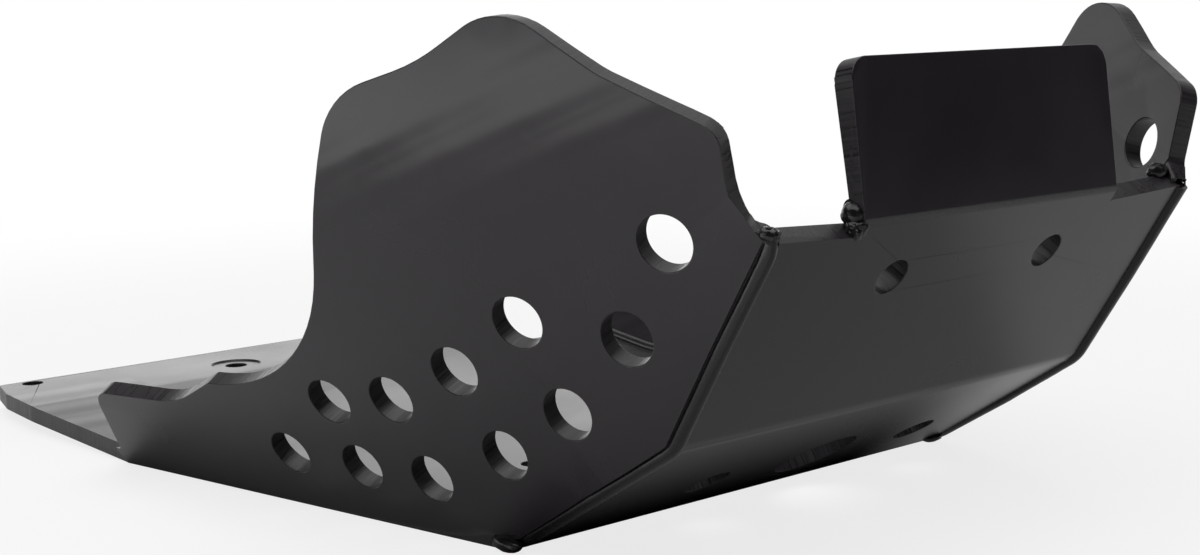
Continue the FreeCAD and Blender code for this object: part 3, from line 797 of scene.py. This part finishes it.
def bead_tree():
    # A path of straight runs becomes a drawn bead: bends smoothed, its height slightly
    # uneven, fine streaks along it and wandering edges
    tree = bpy.data.node_groups.new("weld_bead", "GeometryNodeTree")
    add_input(tree, "Path", "Geometry")
    add_input(tree, "Radius", "Float", TAB_BEAD_RADIUS)
    add_input(tree, "Bend smoothing", "Float", BEND_SMOOTHING)
    add_input(tree, "Step", "Float", BEAD_STEP)
    add_input(tree, "Unevenness", "Float", BEAD_UNEVENNESS)
    add_input(tree, "Streak depth", "Float", STREAK_DEPTH)
    add_input(tree, "Streak length", "Float", STREAK_LENGTH)
    add_input(tree, "Seed", "Float", 1.0)
    add_input(tree, "Material", "Material")
    tree.interface.new_socket("Bead", in_out="OUTPUT", socket_type="NodeSocketGeometry")
    given = tree.nodes.new("NodeGroupInput").outputs
    line = add_node(tree, "GeometryNodeMeshToCurve", {"Mesh": given["Path"]})
    bent = add_node(
        tree, "GeometryNodeFilletCurve",
        {
            "Curve": line.outputs[0], "Radius": given["Bend smoothing"],
            "Limit Radius": True, "Count": 8,
        },
        mode="POLY",
    )
    fine = add_node(
        tree, "GeometryNodeResampleCurve",
        {"Curve": bent.outputs[0], "Length": given["Step"]}, mode="LENGTH",
    )
    reach = add_node(tree, "GeometryNodeSplineParameter")
    run = add_node(
        tree, "GeometryNodeStoreNamedAttribute",
        {"Geometry": fine.outputs[0], "Name": "along_bead", "Value": reach.outputs["Length"]},
    )
    ring = add_node(
        tree, "GeometryNodeCurvePrimitiveCircle", {"Resolution": 36, "Radius": given["Radius"]}
    )
    turn = add_node(tree, "GeometryNodeSplineParameter")
    round_ring = add_node(
        tree, "GeometryNodeStoreNamedAttribute",
        {"Geometry": ring.outputs[0], "Name": "round_bead", "Value": turn.outputs["Factor"]},
    )
    solid = add_node(
        tree, "GeometryNodeCurveToMesh",
        {"Curve": run.outputs[0], "Profile Curve": round_ring.outputs[0], "Fill Caps": True},
    )
    # The noise is read on a cylinder, drawn out along the bead, so it has no seam
    along = add_node(tree, "GeometryNodeInputNamedAttribute", {"Name": "along_bead"}).outputs[0]
    about = add_node(tree, "GeometryNodeInputNamedAttribute", {"Name": "round_bead"}).outputs[0]
    angle = add_node(tree, "ShaderNodeMath", {0: about, 1: 2 * math.pi}, operation="MULTIPLY")
    cosine = add_node(tree, "ShaderNodeMath", {0: angle.outputs[0]}, operation="COSINE").outputs[0]
    sine = add_node(tree, "ShaderNodeMath", {0: angle.outputs[0]}, operation="SINE").outputs[0]
    drawn_out = add_node(
        tree, "ShaderNodeMath", {0: along, 1: given["Streak length"]}, operation="DIVIDE"
    )
    spread = add_node(tree, "ShaderNodeCombineXYZ", {0: cosine, 1: sine, 2: drawn_out.outputs[0]})
    lifts = []
    for scale, detail, amount in ((4.0, 1.0, "Streak depth"), (0.9, 2.0, "Unevenness")):
        pattern = add_node(
            tree, "ShaderNodeTexNoise",
            {"Vector": spread.outputs[0], "W": given["Seed"], "Scale": scale, "Detail": detail},
            noise_dimensions="4D",
        )
        centred = add_node(
            tree, "ShaderNodeMath", {0: pattern.outputs[0], 1: 0.5}, operation="SUBTRACT"
        )
        lift = add_node(
            tree, "ShaderNodeMath", {0: centred.outputs[0], 1: given[amount]}, operation="MULTIPLY"
        )
        lifts.append(lift.outputs[0])
    lift = add_node(tree, "ShaderNodeMath", {0: lifts[0], 1: lifts[1]}, operation="ADD")
    outward = add_node(tree, "GeometryNodeInputNormal")
    push = add_node(
        tree, "ShaderNodeVectorMath",
        {0: outward.outputs[0], "Scale": lift.outputs[0]}, operation="SCALE",
    )
    drawn = add_node(
        tree, "GeometryNodeSetPosition", {"Geometry": solid.outputs[0], "Offset": push.outputs[0]}
    )
    smooth = add_node(tree, "GeometryNodeSetShadeSmooth", {0: drawn.outputs[0]})
    real = add_node(tree, "GeometryNodeRealizeInstances", {0: smooth.outputs[0]})
    dressed = add_node(
        tree, "GeometryNodeSetMaterial",
        {"Geometry": real.outputs[0], "Material": given["Material"]},
    )
    result = tree.nodes.new("NodeGroupOutput")
    tree.links.new(dressed.outputs[0], result.inputs[0])
    return tree


def outer_path(node):
    # The CAD bead's middle, moved onto the front plate and lengthened at both ends
    path = bead_path(node)
    moved = []
    for i, place in enumerate(path):
        ahead = path[min(i + 1, len(path) - 1)]
        before = path[max(i - 1, 0)]
        if ahead.z < before.z:
            before, ahead = ahead, before
        behind, inside = cross_axes(before, ahead)
        moved.append(place + inside * OUTER_BEAD_INSIDE[node] - behind * OUTER_BEAD_PROUD)
    if moved[0].z > moved[-1].z:
        moved.reverse()
    moved[-1] -= (moved[-1] - moved[-2]).normalized() * OUTER_BEAD_TOP_CUT
    top = moved[-1] + OUTER_BEAD_TOP[node]
    foot = moved[0].copy()
    foot.z = max(foot.z, OUTER_BEAD_FLOOR)
    tail = Vector((foot.x, foot.y + OUTER_BEAD_TAIL, OUTER_BEAD_FLOOR))
    return [tail, foot, *moved[1:], top]


def tab_path(node):
    # The CAD bead's middle without its rounded ends
    places = bead_path(node)
    middle = places[len(places) // 2]
    low = min(place.x for place in places) + TAB_BEAD_CUT
    high = max(place.x for place in places) - TAB_BEAD_CUT
    return [Vector((low, middle.y, middle.z)), Vector((high, middle.y, middle.z))]


def drawn_path(node):
    if node in OUTER_WELDS:
        return outer_path(node)
    if node == "tab_weld":
        return tab_path(node)
    return bead_path(node)


# Where a bead ends the rod was torn off hot and left a lump: at the tab's fold a glossy ball
# over a rough clot, at the right front corner a nub with a blow-hole, inside the left one a
# curl, and at the front bend a smear, beside the right wall and under the slope on the left.
# Each is a centre and half-sizes in millimetres, a roughness and a blow-hole's direction.

BLOW_HOLE = Vector((-0.3, -0.25, 0.92))
LUMPS = {
    "tab_bead": (
        ((-75.5, -243, 130.9), (4.1, 4.1, 4.3), 0.08, None),
        ((-76, -245, 126.3), (3.8, 3.6, 3.6), 0.3, None),
    ),
    "right_outer_bead": (
        ((-116.6, -244.2, 128.4), (3.5, 3.5, 2.6), 0.2, BLOW_HOLE),
        ((-126.6, -116.8, 3.0), (3.4, 8.2, 2.9), 0.1, None),
    ),
    "left_outer_bead": (((117.5, -120.3, 2.7), (6.5, 4.2, 2.6), 0.1, None),),
    "left_inner_bead": (((110.5, -239.0, 131.0), (5.2, 3.6, 3.4), 0.15, None),),
}
LUMP_SUBDIVISIONS = 4
LUMP_SWELLS = 1.6
LUMP_WRINKLES = 5
WRINKLE_SHARE = 0.4
LUMP_FLOOR = 0.1 * MM
BLOW_HOLE_HALF_ANGLE = math.radians(24)
BLOW_HOLE_DEPTH = 0.75


def add_lumps(piece, lumps):
    # Each lump is a ball swollen and wrinkled by noise, and pressed in at its blow-hole
    lumpy = bmesh.new()
    lumpy.from_mesh(piece.data)
    for number, (centre, size, roughness, blow_hole) in enumerate(lumps):
        seed = Vector((number * 7.3, 3.1, 0))
        made = bmesh.ops.create_icosphere(lumpy, subdivisions=LUMP_SUBDIVISIONS, radius=1)
        for vertex in made["verts"]:
            way = vertex.co.normalized()
            swell = noise.noise(way * LUMP_SWELLS + seed)
            wrinkle = noise.noise(way * LUMP_WRINKLES + seed)
            reach = 1 + roughness * (swell + WRINKLE_SHARE * wrinkle)
            if blow_hole is not None:
                near = max(0, 1 - way.angle(blow_hole) / BLOW_HOLE_HALF_ANGLE)
                reach -= BLOW_HOLE_DEPTH * near * near * (3 - 2 * near)
            vertex.co = (Vector(centre) + way * Vector(size) * reach) * MM
            vertex.co.z = max(vertex.co.z, LUMP_FLOOR)
    for face in lumpy.faces:
        face.smooth = True
        face.material_index = 0
    lumpy.to_mesh(piece.data)
    lumpy.free()


def make_bead(name, node, tree, radius, seed, material):
    places = drawn_path(node)
    path = bpy.data.meshes.new(name)
    path.from_pydata(places, [(i, i + 1) for i in range(len(places) - 1)], [])
    piece = add_piece(name, path)
    drawn = piece.modifiers.new("bead", "NODES")
    drawn.node_group = tree
    wanted = {"Radius": radius, "Seed": float(seed), "Material": material}
    for socket in tree.interface.items_tree:
        if socket.in_out == "INPUT" and socket.name in wanted:
            drawn[socket.identifier] = wanted[socket.name]
    work_in_modifiers(piece)
    if name in LUMPS:
        add_lumps(piece, LUMPS[name])
    return piece


make_camera()
make_floor()
make_world()
make_key_light()
make_card()

SHEET = sheet_material()
ROUTED_EDGE = routed_material()
WELD = weld_material()

plate = make_plate(SHEET, ROUTED_EDGE)
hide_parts("folded_plate")
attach(plate, "root")

BEADS = {
    "right_outer_bead": ("right_outer_weld", RIGHT_BEAD_RADIUS),
    "left_outer_bead": ("left_outer_weld", LEFT_BEAD_RADIUS),
    "right_inner_bead": ("right_inner_weld", INNER_BEAD_RADIUS),
    "left_inner_bead": ("left_inner_weld", INNER_BEAD_RADIUS),
    "tab_bead": ("tab_weld", TAB_BEAD_RADIUS),
}
bead_group = bead_tree()
for seed, (name, (node, radius)) in enumerate(BEADS.items(), start=1):
    bead = make_bead(name, node, bead_group, radius, seed, WELD)
    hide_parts(node)
    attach(bead, "root")
